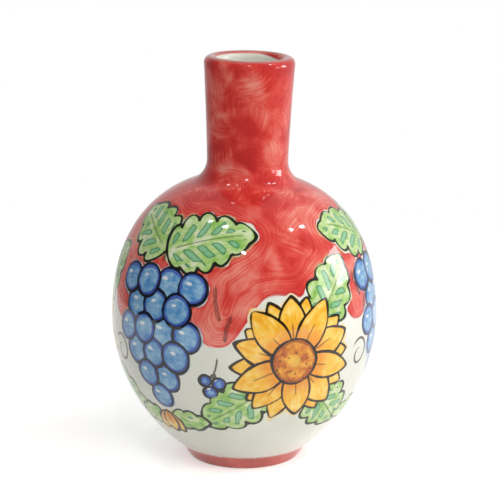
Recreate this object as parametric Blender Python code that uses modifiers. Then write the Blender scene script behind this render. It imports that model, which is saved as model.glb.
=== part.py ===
# A glazed earthenware bottle for oil or vinegar: a globe on a low foot, with a plain neck.
# The clay is one turned body. Each glaze is a thin turned coat that sits on it with a small gap.
# Units are metres, +Z is up, and the origin is at the middle of the foot, on the table.
import math

import bpy

# The glazed outside
BOTTLE_HEIGHT = 0.170
GLOBE_RADIUS = 0.0557
GLOBE_CENTRE_HEIGHT = 0.0607
CROWN_RISE = 0.0608  # from the globe's centre to where its crown would close, without a neck
CROWN_POWER = 2.29  # roundness of the crown: 2 is an ellipse, more is squarer
BELLY_POWER = 1.86  # roundness of the belly: less than 2 is leaner
SHOULDER_FILLET = 0.0096
NECK_RADIUS = 0.0169
LIP_FLARE = 0.0019  # how far the lip stands out past the foot of the neck
LIP_FLARE_POWER = 1.3
NECK_LEAN = math.radians(1.25)  # hand-made: the neck leans a little towards +X

# The foot
FOOT_RADIUS = 0.0270  # where the belly comes down on it
FOOT_HEIGHT = 0.0059
FOOT_TAPER = math.radians(33)  # how far its side is cut in from upright
HEEL_ROUND = 0.0022
FOOT_RING_WIDTH = 0.0041
FOOT_RECESS_DEPTH = 0.0015
GLAZE_LINE_HEIGHT = 0.0006  # the foot is wiped clean below this height

# Walls and coats
GLOBE_WALL = 0.0050
NECK_WALL = 0.0039
FLOOR_THICKNESS = 0.0055
FLOOR_ROUND = 0.0080
GLAZE_COAT = 0.0005
COAT_GAP = 0.0003

# Where the coats meet
RED_BORDER_RISE = 0.0270  # above the globe's centre
RED_BORE_DEPTH = 0.0006  # below the lip's round, inside the mouth

# Steps of the facets
TURN_STEPS = 48
BELLY_STEPS = 8
WHITE_CROWN_STEPS = 3
RED_CROWN_STEPS = 6
INSIDE_STEPS = 7  # for the belly, and again for the crown
FILLET_STEPS = 4
NECK_STEPS = 4
LIP_STEPS = 6
HEEL_STEPS = 3
FLOOR_STEPS = 3
SHARP_ANGLE = math.radians(40)
WELD = 0.00001

mouth_radius = NECK_RADIUS - NECK_WALL
lip_radius = NECK_RADIUS + LIP_FLARE
lip_round = (lip_radius - mouth_radius) / 2
lip_centre_height = BOTTLE_HEIGHT - lip_round
heel_round = min(HEEL_ROUND, FOOT_HEIGHT - 2 * COAT_GAP)
side_fall = (FOOT_HEIGHT - heel_round) * math.sin(FOOT_TAPER)
contact_radius = FOOT_RADIUS - (heel_round + side_fall) / math.cos(FOOT_TAPER)
floor_height = FOOT_RECESS_DEPTH + FLOOR_THICKNESS
clay_depth = GLAZE_COAT + COAT_GAP

foot_angle = math.acos((FOOT_RADIUS / GLOBE_RADIUS) ** (BELLY_POWER / 2))
belly_drop = (GLOBE_CENTRE_HEIGHT - FOOT_HEIGHT) / math.sin(foot_angle) ** (2 / BELLY_POWER)


# A point of a surface is (radius, height, outward radius, outward height). The last two are
# the unit direction from the clay to the air, along which walls and coats are measured.
def globe_point(angle):
    if angle >= 0:
        reach, power, way = CROWN_RISE, CROWN_POWER, 1
    else:
        reach, power, way = belly_drop, BELLY_POWER, -1
    across = math.cos(angle) ** (2 / power)
    along = abs(math.sin(angle)) ** (2 / power)
    out_radius = across ** (power - 1) / GLOBE_RADIUS
    out_height = way * along ** (power - 1) / reach
    size = math.hypot(out_radius, out_height)
    height = GLOBE_CENTRE_HEIGHT + way * reach * along
    return (GLOBE_RADIUS * across, height, out_radius / size, out_height / size)


def crown_angle(height):
    return math.asin(((height - GLOBE_CENTRE_HEIGHT) / CROWN_RISE) ** (CROWN_POWER / 2))


def globe_section(start, end, steps):
    return [globe_point(start + (end - start) * step / steps) for step in range(steps + 1)]


def arc_section(centre, radius, start, end, steps, hollow=False):
    side = -1 if hollow else 1
    points = []
    for step in range(steps + 1):
        angle = start + (end - start) * step / steps
        across, up = math.cos(angle), math.sin(angle)
        points.append((centre[0] + radius * across, centre[1] + radius * up, side * across, side * up))
    return points


def neck_point(share, base_height):
    # share runs from 0 at the foot of the neck to 1 under the lip.
    length = lip_centre_height - base_height
    radius = NECK_RADIUS + LIP_FLARE * share**LIP_FLARE_POWER
    slope = LIP_FLARE * LIP_FLARE_POWER * share ** (LIP_FLARE_POWER - 1) / length
    size = math.hypot(1, slope)
    return (radius, base_height + length * share, 1 / size, -slope / size)


def neck_section(base_height, steps):
    return [neck_point(1 - step / steps, base_height) for step in range(steps + 1)]


def inset(section, depth):
    return [(r - out_r * depth, z - out_z * depth) for r, z, out_r, out_z in section]


def joined(*sections):
    points = []
    for section in sections:
        for point in section:
            if not points or math.dist(point[:2], points[-1][:2]) > WELD:
                points.append(point)
    return points


def zero_of(function, low, high):
    # The place between low and high where a falling function passes zero.
    for _ in range(60):
        middle = (low + high) / 2
        if function(middle) > 0:
            low = middle
        else:
            high = middle
    return (low + high) / 2


def touching_angle(tube_radius, fillet):
    # Where an arc outside the crown touches both the crown and a tube of this radius.
    def spare(angle):
        radius, _, out_radius, _ = globe_point(angle)
        return radius + out_radius * fillet - tube_radius - fillet

    return zero_of(spare, 0, math.pi / 2)


def shoulder_arc(tube_radius, fillet, wall):
    # The arc from the crown to the tube, on the outside for no wall, or on the inside of a wall.
    touch = touching_angle(tube_radius, fillet)
    radius, height, out_radius, out_height = globe_point(touch)
    centre = (radius + out_radius * fillet, height + out_height * fillet)
    start = math.atan2(-out_height, -out_radius) % (2 * math.pi)
    arc = arc_section(centre, fillet + wall, math.pi, start, FILLET_STEPS, hollow=wall == 0)
    return touch, centre[1], arc


def thinned(section, wall):
    # The inner side of a wall: its air is on the other side.
    return [(r - out_r * wall, z - out_z * wall, -out_r, -out_z) for r, z, out_r, out_z in section]


def floor_section():
    # The floor inside: flat in the middle, with a round up to the belly's inner side.
    depth = GLOBE_WALL + FLOOR_ROUND

    def spare(fall):
        _, height, _, out_height = globe_point(-fall)
        return height - out_height * depth - floor_height - FLOOR_ROUND

    touch = zero_of(spare, 0, math.pi / 2)
    radius, height, out_radius, out_height = globe_point(-touch)
    centre = (radius - out_radius * depth, height - out_height * depth)
    end = math.atan2(out_height, out_radius)
    arc = arc_section(centre, FLOOR_ROUND, -math.pi / 2, end, FLOOR_STEPS, hollow=True)
    return touch, joined([(0, floor_height, 0, 1)], arc)


# The glazed surface in four runs, from the middle of the floor inside, over the lip, to the foot
def liner_run():
    floor_touch, floor = floor_section()
    wall_touch, base_height, arc = shoulder_arc(mouth_radius + GLOBE_WALL, SHOULDER_FILLET, GLOBE_WALL)
    belly = thinned(globe_section(-floor_touch, 0, INSIDE_STEPS), GLOBE_WALL)
    crown = thinned(globe_section(0, wall_touch, INSIDE_STEPS), GLOBE_WALL)
    top = lip_centre_height - RED_BORE_DEPTH - COAT_GAP / 2
    bore = [(mouth_radius, height, -1, 0) for height in (base_height, top)]
    return joined(floor, belly, crown, arc[::-1], bore)


def red_run():
    touch, base_height, arc = shoulder_arc(NECK_RADIUS, SHOULDER_FILLET, 0)
    border = crown_angle(GLOBE_CENTRE_HEIGHT + RED_BORDER_RISE + COAT_GAP / 2)
    start = [(mouth_radius, lip_centre_height - RED_BORE_DEPTH + COAT_GAP / 2, -1, 0)]
    lip = arc_section((mouth_radius + lip_round, lip_centre_height), lip_round, math.pi, 0, LIP_STEPS)
    neck = neck_section(base_height, NECK_STEPS)
    crown = globe_section(touch, border, RED_CROWN_STEPS)
    return joined(start, lip, neck, arc, crown)


def white_run():
    border = crown_angle(GLOBE_CENTRE_HEIGHT + RED_BORDER_RISE - COAT_GAP / 2)
    crown = globe_section(border, 0, WHITE_CROWN_STEPS)
    belly = globe_section(0, -foot_angle, BELLY_STEPS)
    return joined(crown, belly)


heel_top = heel_round * (1 - math.sin(FOOT_TAPER))


def heel_angle(height):
    return -math.asin(1 - min(height / heel_round, 1))


def foot_point(height):
    # On the tapered side, or below it on the heel's round
    if height < heel_top:
        return arc_section((contact_radius, heel_round), heel_round, heel_angle(height), 0, 1)[0]
    radius = FOOT_RADIUS - (FOOT_HEIGHT - height) * math.tan(FOOT_TAPER)
    return (radius, height, math.cos(FOOT_TAPER), -math.sin(FOOT_TAPER))


def foot_section(top, bottom, steps):
    points = [foot_point(top)]
    if bottom >= heel_top:
        return points + [foot_point(bottom)]
    start = heel_angle(min(top, heel_top))
    return points + arc_section((contact_radius, heel_round), heel_round, start, heel_angle(bottom), steps)


def foot_run():
    return joined(foot_section(FOOT_HEIGHT - COAT_GAP, GLAZE_LINE_HEIGHT, HEEL_STEPS))


def bare_foot():
    # Below the glaze line the clay comes out to the full size, to the ring that it stands on.
    line_tilt = foot_point(GLAZE_LINE_HEIGHT)[2]
    heel = foot_section(GLAZE_LINE_HEIGHT - COAT_GAP * line_tilt, 0, HEEL_STEPS)
    recess_radius = contact_radius - FOOT_RING_WIDTH
    ledge = inset(heel[:1], clay_depth)
    ring = [(recess_radius, 0), (recess_radius - FOOT_RECESS_DEPTH, FOOT_RECESS_DEPTH), (0, FOOT_RECESS_DEPTH)]
    return joined(ledge, inset(heel, 0), ring)


def coat_profile(run):
    # The air side and back along the clay side, round a closed loop or from axis to axis
    return inset(run, 0) + inset(run, GLAZE_COAT)[::-1]


def clay_profile():
    covered = [inset(run(), clay_depth) for run in (liner_run, red_run, white_run, foot_run)]
    return joined(*covered, bare_foot())


def leaned(point, base_height):
    # All above the foot of the neck turns about the globe's centre, and the crown less and less.
    x, y, z = point
    rise = z - GLOBE_CENTRE_HEIGHT
    share = min(1, max(0, rise / (base_height - GLOBE_CENTRE_HEIGHT)))
    angle = NECK_LEAN * share * share * (3 - 2 * share)
    turned_x = x * math.cos(angle) + rise * math.sin(angle)
    turned_z = rise * math.cos(angle) - x * math.sin(angle)
    return (turned_x, y, GLOBE_CENTRE_HEIGHT + turned_z)


def clear_scene():
    for thing in list(bpy.data.objects):
        bpy.data.objects.remove(thing, do_unlink=True)


def make_material(name, colour, roughness):
    material = bpy.data.materials.new(name)
    material.use_nodes = True
    shader = material.node_tree.nodes["Principled BSDF"]
    shader.inputs["Base Color"].default_value = (*colour, 1)
    shader.inputs["Roughness"].default_value = roughness
    shader.inputs["Metallic"].default_value = 0
    material.diffuse_color = (*colour, 1)
    return material


def make_turned(name, profile, material, collection):
    # A profile in the XZ plane, turned about Z by a Screw, then leaned
    closed = min(radius for radius, _ in profile) > WELD
    count = len(profile)
    edges = [(number, (number + 1) % count) for number in range(count if closed else count - 1)]
    mesh = bpy.data.meshes.new(name)
    mesh.from_pydata([(radius, 0, height) for radius, height in profile], edges, [])
    turning = bpy.data.objects.new(name, mesh)
    collection.objects.link(turning)
    screw = turning.modifiers.new("Turn", "SCREW")
    screw.axis = "Z"
    screw.steps = TURN_STEPS
    screw.render_steps = TURN_STEPS
    screw.use_merge_vertices = True
    screw.merge_threshold = WELD
    graph = bpy.context.evaluated_depsgraph_get()
    turned = bpy.data.meshes.new_from_object(turning.evaluated_get(graph))
    turning.modifiers.clear()
    turning.data = turned
    turned.name = name
    bpy.data.meshes.remove(mesh)
    base_height = shoulder_arc(NECK_RADIUS, SHOULDER_FILLET, 0)[1]
    for vertex in turned.vertices:
        vertex.co = leaned(vertex.co, base_height)
    turned.shade_smooth()
    turned.set_sharp_from_angle(angle=SHARP_ANGLE)
    turned.materials.append(material)
    return turning


def main():
    clear_scene()
    bottle = bpy.data.collections.new("Oil and vinegar bottle")
    bpy.context.scene.collection.children.link(bottle)
    clay = make_material("Biscuit earthenware", (0.62, 0.36, 0.22), 0.85)
    liner = make_material("White liner glaze", (0.84, 0.83, 0.80), 0.12)
    red = make_material("Red neck glaze", (0.58, 0.04, 0.04), 0.10)
    white = make_material("White tin glaze", (0.86, 0.85, 0.82), 0.10)
    band = make_material("Red foot glaze", (0.55, 0.07, 0.05), 0.12)
    make_turned("clay_body", clay_profile(), clay, bottle)
    make_turned("liner_glaze", coat_profile(liner_run()), liner, bottle)
    make_turned("neck_glaze", coat_profile(red_run()), red, bottle)
    make_turned("globe_glaze", coat_profile(white_run()), white, bottle)
    make_turned("foot_glaze", coat_profile(foot_run()), band, bottle)


main()
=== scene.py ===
# A thrown earthenware bottle for oil or vinegar, dipped in white tin glaze and painted by hand.
# Shapes are in metres. Places in the painting are in millimetres on the pot's skin.
import math

import bpy
import numpy as np
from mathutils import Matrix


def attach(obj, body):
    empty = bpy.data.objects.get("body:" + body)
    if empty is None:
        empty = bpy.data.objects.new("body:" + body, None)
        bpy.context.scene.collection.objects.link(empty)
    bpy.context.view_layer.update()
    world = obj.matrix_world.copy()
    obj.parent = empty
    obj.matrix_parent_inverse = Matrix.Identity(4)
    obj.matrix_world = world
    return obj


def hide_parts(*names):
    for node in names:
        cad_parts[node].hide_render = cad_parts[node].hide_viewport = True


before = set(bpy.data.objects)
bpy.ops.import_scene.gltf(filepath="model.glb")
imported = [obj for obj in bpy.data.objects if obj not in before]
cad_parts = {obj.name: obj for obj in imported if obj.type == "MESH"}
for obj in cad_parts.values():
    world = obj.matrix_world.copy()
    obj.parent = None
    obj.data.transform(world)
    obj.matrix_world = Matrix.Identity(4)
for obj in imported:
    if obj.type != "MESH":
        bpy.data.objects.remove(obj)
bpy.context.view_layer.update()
print("frame loaded:", ", ".join(sorted(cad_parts)))

# What a user would change first: the pot's own shape, the same as the solids'
pot = {
    "height": 0.170,
    "globeRadius": 0.0557,
    "globeCentre": 0.0607,
    "crownRise": 0.0608,
    "crownPower": 2.29,
    "bellyPower": 1.86,
    "shoulderFillet": 0.0096,
    "neckRadius": 0.0169,
    "lipFlare": 0.0019,
    "lipFlarePower": 1.3,
    "neckLean": math.radians(1.25),
    "footRadius": 0.0270,
    "footHeight": 0.0059,
    "footTaper": math.radians(33),  # its side is cut in from upright
    "footCorner": 0.0010,  # the glaze pools in the corner above the foot
    "heelRound": 0.0022,
    "ringWidth": 0.0041,
    "recessDepth": 0.0015,
    "glazeLine": 0.0006,
    "globeWall": 0.0050,
    "neckWall": 0.0039,
    "floorThickness": 0.0055,
    "floorRound": 0.0080,
    "glazeJoin": 0.0120,  # below the mouth's top, where the painted coat takes over from the liner
    "coat": 0.0005,
    "seat": 0.00003,  # between coats and clay
    "turningMark": (0.00009, 0.0014),  # height and spacing, under the foot
    "throwingRing": (0.000016, 0.0075),
}
mouthRadius = pot["neckRadius"] - pot["neckWall"]
lipRadius = pot["neckRadius"] + pot["lipFlare"]
lipRound = (lipRadius - mouthRadius) / 2
lipCentre = pot["height"] - lipRound
taper, heelRound = pot["footTaper"], pot["heelRound"]
sideFall = (pot["footHeight"] - heelRound) * math.sin(taper)
contactRadius = pot["footRadius"] - (heelRound + sideFall) / math.cos(taper)
floorHeight = pot["recessDepth"] + pot["floorThickness"]
footAngle = math.acos((pot["footRadius"] / pot["globeRadius"]) ** (pot["bellyPower"] / 2))
bellyDrop = (pot["globeCentre"] - pot["footHeight"]) / math.sin(footAngle) ** (2 / pot["bellyPower"])
glazeAngle = -math.asin(1 - pot["glazeLine"] / heelRound)


# Outlines are rows of radius and height. They are drawn with the air on their left hand:
# from the middle of the floor inside, up the wall, over the lip and down to the foot.
def globeRun(start, end):
    angles = np.linspace(start, end, 600)
    above = angles >= 0
    power = np.where(above, pot["crownPower"], pot["bellyPower"])
    reach = np.where(above, pot["crownRise"], -bellyDrop)
    across = pot["globeRadius"] * np.cos(angles) ** (2 / power)
    return np.stack([across, pot["globeCentre"] + reach * np.abs(np.sin(angles)) ** (2 / power)], 1)


def arcRun(centre, radius, start, end):
    angles = np.linspace(start, end, 120)
    return np.stack([centre[0] + radius * np.cos(angles), centre[1] + radius * np.sin(angles)], 1)


def airSide(run):
    step = np.gradient(run, axis=0)
    step /= np.linalg.norm(step, axis=1, keepdims=True)
    return np.stack([-step[:, 1], step[:, 0]], 1)


def joinRuns(*runs):
    points = np.concatenate(runs)
    apart = np.linalg.norm(np.diff(points, axis=0), axis=1) > 1e-6
    return points[np.concatenate([[True], apart])]


def lengthAlong(run):
    return np.concatenate([[0], np.cumsum(np.linalg.norm(np.diff(run, axis=0), axis=1))])


def evenly(run, gap):
    # The same outline with its points about one gap apart, or closer on a short one
    length = lengthAlong(run)
    stations = np.linspace(0, length[-1], max(9, round(length[-1] / gap) + 1))
    return np.stack([np.interp(stations, length, run[:, side]) for side in (0, 1)], 1)


def joinEvenly(parts, gapScale=1.0):
    return joinRuns(*[evenly(run, gap * gapScale) for run, gap in parts])


def shoulderRun(tubeRadius, wall):
    # The arc from a tube to the crown that touches both, and the crown's points below it
    crown = globeRun(1.5, 0)
    away = airSide(crown)
    spare = crown[:, 0] + away[:, 0] * pot["shoulderFillet"] - tubeRadius - pot["shoulderFillet"]
    touch = int(np.searchsorted(spare, 0))
    centre = crown[touch] + away[touch] * pot["shoulderFillet"]
    start = math.atan2(-away[touch, 1], -away[touch, 0]) % (2 * math.pi)
    arc = arcRun(centre, pot["shoulderFillet"] + wall, math.pi, start)
    return arc, crown[touch:] - away[touch:] * wall


def drawLiner():
    arc, crown = shoulderRun(mouthRadius + pot["globeWall"], pot["globeWall"])
    belly = globeRun(0, -1.5)
    belly -= airSide(belly) * pot["globeWall"]
    roundTop = floorHeight + pot["floorRound"]
    inner = belly - airSide(belly) * pot["floorRound"]
    last = int(np.searchsorted(-inner[:, 1], -roundTop))
    side = airSide(belly)[last]
    roundOff = arcRun(inner[last], pot["floorRound"], -math.pi / 2, math.atan2(side[1], side[0]))
    floor = np.array([(0, floorHeight), roundOff[0]])
    bore = np.array([arc[0], (mouthRadius, pot["height"] - pot["glazeJoin"] - pot["seat"])])
    parts = [(floor, 0.003), (roundOff, 0.0015), (belly[:last][::-1], 0.003), (crown[::-1], 0.003)]
    return joinEvenly(parts + [(arc[::-1], 0.0012), (bore, 0.004)])


def drawOutside(gapScale=1.0):
    # The painted coat: from inside the mouth over the lip, and down the outside to the glaze line
    arc, crown = shoulderRun(pot["neckRadius"], 0)
    share = np.linspace(1, 0, 200)
    neckHeights = arc[0, 1] + (lipCentre - arc[0, 1]) * share
    neck = np.stack([pot["neckRadius"] + pot["lipFlare"] * share ** pot["lipFlarePower"], neckHeights], 1)
    belly = globeRun(0, -footAngle)
    corner = belly[-1]
    belly = belly[np.linalg.norm(belly - corner, axis=1) > pot["footCorner"]]
    below = corner - pot["footCorner"] * np.array([math.sin(taper), math.cos(taper)])
    turn = np.linspace(0, 1, 30)[:, None]
    pooled = (1 - turn) ** 2 * belly[-1] + 2 * turn * (1 - turn) * corner + turn**2 * below
    bore = np.array([(mouthRadius, pot["height"] - pot["glazeJoin"]), (mouthRadius, lipCentre)])
    lip = arcRun((mouthRadius + lipRound, lipCentre), lipRound, math.pi, 0)
    heel = arcRun((contactRadius, heelRound), heelRound, -taper, glazeAngle)
    side = np.array([below, heel[0]])
    parts = [(bore, 0.0015), (lip, 0.0006), (neck, 0.0020), (arc, 0.0010), (joinRuns(crown, belly), 0.0010)]
    return joinEvenly(parts + [(joinRuns(pooled, side, heel), 0.0006)], gapScale)


def drawBareFoot():
    # The clay below the glaze line: heel, standing ring, and a recess with the marks of turning
    heel = arcRun((contactRadius, heelRound), heelRound, glazeAngle - 0.01, -math.pi / 2)
    recessRadius = contactRadius - pot["ringWidth"]
    wallFoot = recessRadius - pot["recessDepth"]
    slope = np.array([(recessRadius, 0), (wallFoot, pot["recessDepth"])])
    radii = np.arange(wallFoot - 0.0003, 0.0004, -0.0003)
    ridgeHeight, ridgeGap = pot["turningMark"]
    ridge = ridgeHeight * np.sin(radii / ridgeGap * 2 * math.pi) * np.clip((wallFoot - radii) / 0.001, 0, 1)
    recess = np.stack([radii, pot["recessDepth"] + ridge], 1)
    return joinRuns(evenly(heel, 0.0005), evenly(slope, 0.0005), recess, [(0, pot["recessDepth"])])


def insetRun(run, depth):
    return run - airSide(run) * depth


def leanAndWobble(points):
    # The neck leans a little towards +X, and the walls are as round as a hand leaves them
    x, y, z = points.T
    rise = z - pot["globeCentre"]
    neckFoot = shoulderRun(pot["neckRadius"], 0)[0][0, 1]
    share = np.clip(rise / (neckFoot - pot["globeCentre"]), 0, 1)
    angle = pot["neckLean"] * share * share * (3 - 2 * share)
    around = np.arctan2(x, -y)
    lifted = np.clip(z / 0.02, 0, 1)
    swell = 0.00010 * np.sin(2 * around + 0.6) + 0.00006 * np.sin(3 * around + z * 40)
    ringHeight, ringGap = pot["throwingRing"]
    swell += ringHeight * np.sin(z / ringGap * 2 * math.pi + 0.8 * np.sin(around))
    outward = 1 + lifted * swell / np.maximum(np.hypot(x, y), 0.012)
    x, y = x * outward, y * outward
    leanedX = x * np.cos(angle) + rise * np.sin(angle)
    leanedZ = rise * np.cos(angle) - x * np.sin(angle)
    return np.stack([leanedX, y, pot["globeCentre"] + leanedZ], 1)


def turnOnWheel(name, outline):
    # One point is drawn along the outline, and the line is spun round the wheel's axis
    bpy.ops.object.select_all(action="DESELECT")
    bpy.ops.mesh.primitive_plane_add(size=0.001, location=(0, 0, 0))
    piece = bpy.context.active_object
    piece.name = name
    piece.data.name = name
    bpy.ops.object.mode_set(mode="EDIT")
    bpy.ops.mesh.merge(type="CENTER")
    bpy.ops.transform.translate(value=(outline[0, 0], 0, outline[0, 1]))
    for across, upward in np.diff(outline, axis=0):
        bpy.ops.mesh.extrude_region_move(TRANSFORM_OT_translate={"value": (across, 0, upward)})
    bpy.ops.mesh.select_all(action="SELECT")
    steps = turning[name]["steps"]
    bpy.ops.mesh.spin(steps=steps, angle=2 * math.pi, center=(0, 0, 0), axis=(0, 0, 1))
    bpy.ops.mesh.select_all(action="SELECT")
    bpy.ops.mesh.remove_doubles(threshold=0.000006)
    bpy.ops.mesh.normals_make_consistent(inside=False)
    bpy.ops.object.mode_set(mode="OBJECT")
    bpy.ops.object.shade_smooth_by_angle(angle=math.radians(35))
    return piece


def readValues(rows, field, width=1, kind=np.int32):
    values = np.empty(len(rows) * width, kind)
    rows.foreach_get(field, values)
    return values


def readPoints(mesh):
    return readValues(mesh.vertices, "co", 3, np.float32).reshape(-1, 3).astype(float)


def writePoints(mesh, points):
    mesh.vertices.foreach_set("co", points.astype(np.float32).ravel())
    mesh.update()


turning = {
    "paintedGlaze": {"steps": 360, "backGap": 5.5},  # the back of the coat is never seen, so it is coarse
    "linerGlaze": {"steps": 128},
    "biscuitBody": {"steps": 160, "outsideGap": 2.5},
}
outside = drawOutside()
backOfCoat = insetRun(drawOutside(turning["paintedGlaze"]["backGap"]), pot["coat"])
backOfCoat[0] = (mouthRadius + pot["coat"], outside[0, 1])
coatOutline = joinRuns(outside, backOfCoat[::-1], outside[:1])
paintedGlaze = turnOnWheel("paintedGlaze", coatOutline)
print("painted coat turned:", len(paintedGlaze.data.polygons), "faces")

liner = drawLiner()
linerBack = insetRun(liner, pot["coat"])
linerBack[0, 0] = 0
linerGlaze = turnOnWheel("linerGlaze", joinRuns(liner, linerBack[::-1]))

claySkin = pot["coat"] + pot["seat"]
clayOutside = insetRun(drawOutside(turning["biscuitBody"]["outsideGap"]), claySkin)
clayInside = insetRun(liner, claySkin)
clayInside[0, 0] = 0
biscuitBody = turnOnWheel("biscuitBody", joinRuns(clayInside, clayOutside, drawBareFoot()))
print("liner and clay turned")

# The painting is laid out on the coat before the neck is leaned
skin = readPoints(paintedGlaze.data)
for piece in (paintedGlaze, linerGlaze, biscuitBody):
    writePoints(piece.data, leanAndWobble(readPoints(piece.data)))

skinRadius = np.hypot(skin[:, 0], skin[:, 1])
skinAzimuth = np.arctan2(skin[:, 0], -skin[:, 1])
skinStation = np.zeros(len(skin), int)
batch = 4000
for first in range(0, len(skin), batch):
    rows = slice(first, first + batch)
    places = np.stack([skinRadius[rows], skin[rows, 2]], 1)
    apart = np.linalg.norm(places[:, None, :] - coatOutline[None, :, :], axis=2)
    skinStation[rows] = apart.argmin(1)
onOutside = skinStation < len(outside)
outsideLength = lengthAlong(outside)
outsideLength /= outsideLength[-1]
backShare = np.linspace(1, 0, len(coatOutline) - len(outside))
stationHeight = np.concatenate([0.02 + 0.92 * outsideLength, 0.96 + 0.03 * backShare])


def unwrapCoat(mesh):
    # Round the pot is across the picture, and the height on the skin is up it. The seam is at the back.
    corners = readValues(mesh.loops, "vertex_index")
    around = skinAzimuth[corners]
    starts = readValues(mesh.polygons, "loop_start")
    sizes = readValues(mesh.polygons, "loop_total")
    highest = np.maximum.reduceat(around, starts)
    wraps = np.repeat(highest - np.minimum.reduceat(around, starts) > math.pi, sizes)
    around = np.where(wraps & (around < 0), around + 2 * math.pi, around)
    across = 0.01 + 0.98 * (around + math.pi) / (2 * math.pi)
    picture = mesh.uv_layers.new(name="OFBake")
    places = np.stack([across, 1 - stationHeight[skinStation[corners]]], 1)
    picture.data.foreach_set("uv", places.astype(np.float32).ravel())


for layer in list(paintedGlaze.data.uv_layers):
    paintedGlaze.data.uv_layers.remove(layer)
unwrapCoat(paintedGlaze.data)

# The painting: sunflowers, bunches of grapes and their leaves, three times round the globe
bouquet = {
    "repeats": 3,
    "flower": {
        "azimuth": 21,
        "latitude": -7,
        "reach": 28.0,
        "disc": 9.6,
        "petals": 10,
        "rows": ((0.5, "petalBack", 11.0, 0.97), (0, "petalFront", 12.2, 1)),  # width, and share of the reach
    },
    "bunch": {
        "azimuth": -39,
        "latitude": 24,
        "berry": 6.4,
        "rows": (4, 3, 4, 3, 2, 1),
        "pitch": (1.72, 1.52),  # from berry to berry, in berries
        "stalkBend": (-2.2, 0),
        "tendril": {"centre": (-25, -31), "size": 6.0, "winding": 8.2},
    },
    "bunchLeaves": (
        {"layer": "leafBack", "turn": 150, "length": 33, "width": 25, "lobes": 4},
        {"layer": "leafFront", "turn": 33, "length": 38, "width": 28, "lobes": 5},
    ),
    "flowerLeaves": (
        {"layer": "leafBack", "turn": 58, "start": 17, "length": 35, "width": 25, "lobes": 4},
        {"layer": "leafBack", "turn": 225, "start": 16, "length": 34, "width": 25, "lobes": 4},
        {"layer": "leafBack", "turn": -48, "start": 17, "length": 34, "width": 24, "lobes": 4},
    ),
    "sprig": ((-45, -35, 196, 18, 12), (-39, -35, -16, 18, 12)),
    "bud": {"azimuth": -42, "latitude": -33, "length": 13, "width": 7.0},
    "currants": {
        "azimuth": -17,
        "latitude": -14,
        "size": 2.7,
        "places": ((0, 0), (5.6, -1.2), (1.9, -5.4)),
        "fork": (4.0, 3.6),
        "tip": (5.5, 10.5),
    },
    "slashes": ((-12, 19, 15.0, 97), (-7, 9, 12.0, 78), (57, 22, 13.0, 103), (62, 12, 9.0, 84)),
    "strokeWidths": {"stalk": 0.8, "tendril": 0.58, "currants": 0.4, "slash": 0.95},
    "farAway": 12.0,  # distances are kept up to this many millimetres
    "globeOnly": 75.0,  # nothing is painted further than this from the globe's middle
}
border = {
    "height": 86.0,
    "tongues": ((-11, 24.0, 15.0), (57, 18.0, 12.0), (24, 6.0, 20.0)),  # azimuth, drop, half width in degrees
    "fullness": 2.6,
}
random = np.random.default_rng(7)
globeMiddle = np.array([0, 0, pot["globeCentre"]])
reachOut = np.linalg.norm(skin - globeMiddle, axis=1)
heading = (skin - globeMiddle) / reachOut[:, None]
reachOut *= 1000
layers = {}


def spotPlane(azimuth, latitude):
    # Millimetres to the right of a spot on the globe, and above it, as if paper were wrapped round
    a, b = math.radians(azimuth), math.radians(latitude)
    middle = np.array([math.sin(a) * math.cos(b), -math.cos(a) * math.cos(b), math.sin(b)])
    right = np.array([math.cos(a), math.sin(a), 0])
    upward = np.cross(middle, right)
    flat = np.stack([heading @ right, heading @ upward], 1)
    size = np.maximum(np.linalg.norm(flat, axis=1), 1e-9)
    away = np.arccos(np.clip(heading @ middle, -1, 1))
    return flat / size[:, None] * (away * reachOut)[:, None]


def pointing(turn):
    return np.array([math.cos(turn), math.sin(turn)])


def slip(most):
    # As far as a hand slips, one way or the other
    return random.uniform(-most, most)


def layerNamed(name):
    if name not in layers:
        layers[name] = {"edge": np.full(len(skin), bouquet["farAway"]), "place": np.zeros((len(skin), 3))}
    return layers[name]


def edgeDistance(points, outline):
    # Millimetres from each point to a closed outline, and less than zero inside it
    nearest = np.full(len(points), 1e9)
    inside = np.zeros(len(points), bool)
    for start, end in zip(outline, np.roll(outline, -1, axis=0)):
        edge, offset = end - start, points - start
        share = np.clip(offset @ edge / max(edge @ edge, 1e-12), 0, 1)
        nearest = np.minimum(nearest, np.linalg.norm(offset - share[:, None] * edge, axis=1))
        passes = (start[1] > points[:, 1]) != (end[1] > points[:, 1])
        if abs(edge[1]) > 1e-12:
            inside ^= passes & (points[:, 0] < start[0] + offset[:, 1] / edge[1] * edge[0])
    return np.where(inside, -nearest, nearest)


def paintShape(layerName, plane, outline, root, turn):
    # A shape's own place runs along from its root and across to its left, with a number of its own
    layer = layerNamed(layerName)
    along = pointing(turn)
    across = np.array([-along[1], along[0]])
    moved = plane - np.array(root)
    own = np.stack([moved @ along, moved @ across], 1)
    low, high = outline.min(0) - bouquet["farAway"], outline.max(0) + bouquet["farAway"]
    near = np.flatnonzero(((own > low) & (own < high)).all(1) & (reachOut < bouquet["globeOnly"]))
    edge = edgeDistance(own[near], outline)
    closer = edge < layer["edge"][near]
    layer["edge"][near[closer]] = edge[closer]
    number = random.uniform(0, 1)
    layer["place"][near[closer]] = np.column_stack([own[near[closer]], np.full(closer.sum(), number)])


def wobbled(outline, size):
    # The same outline as a hand draws it
    turnsRound = np.linspace(0, 2 * math.pi, len(outline), endpoint=False)
    for waves in (2, 3, 5):
        phase, way = random.uniform(0, 2 * math.pi, 2)
        push = size / waves * np.sin(waves * turnsRound + phase)
        outline = outline + push[:, None] * pointing(way)
    return outline


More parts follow.
